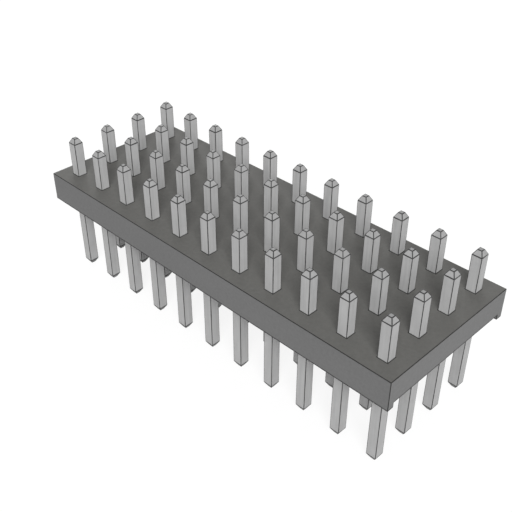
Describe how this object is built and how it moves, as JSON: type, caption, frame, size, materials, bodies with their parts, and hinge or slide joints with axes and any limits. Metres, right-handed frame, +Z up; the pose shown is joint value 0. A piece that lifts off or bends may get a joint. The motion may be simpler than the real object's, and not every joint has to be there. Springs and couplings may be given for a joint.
{
  "type": "pin header",
  "caption": "Board connector: a low moulded block on two rails, with a grid of square blunt-pointed pins that stand above it to mate and pass below it to solder.",
  "frame": {"origin": "middle of the grid of pins, in the plane of the circuit board that the rails sit on", "axes": "+X along the long rows of pins, +Y across them from the front row to the back row, +Z up out of the board towards the mating ends of the pins"},
  "size_m": [0.022, 0.008, 0.0077],
  "materials": {
    "housing": "matte",
    "pins": "satin"
  },
  "bodies": {
    "root": {"housing": "housing", "pin_a1": "pins", "pin_a2": "pins", "pin_a3": "pins", "pin_a4": "pins", "pin_a5": "pins", "pin_a6": "pins", "pin_a7": "pins", "pin_a8": "pins", "pin_a9": "pins", "pin_a10": "pins", "pin_a11": "pins", "pin_b1": "pins", "pin_b2": "pins", "pin_b3": "pins", "pin_b4": "pins", "pin_b5": "pins", "pin_b6": "pins", "pin_b7": "pins", "pin_b8": "pins", "pin_b9": "pins", "pin_b10": "pins", "pin_b11": "pins", "pin_c1": "pins", "pin_c2": "pins", "pin_c3": "pins", "pin_c4": "pins", "pin_c5": "pins", "pin_c6": "pins", "pin_c7": "pins", "pin_c8": "pins", "pin_c9": "pins", "pin_c10": "pins", "pin_c11": "pins", "pin_d1": "pins", "pin_d2": "pins", "pin_d3": "pins", "pin_d4": "pins", "pin_d5": "pins", "pin_d6": "pins", "pin_d7": "pins", "pin_d8": "pins", "pin_d9": "pins", "pin_d10": "pins", "pin_d11": "pins"}
  },
  "joints": []
}
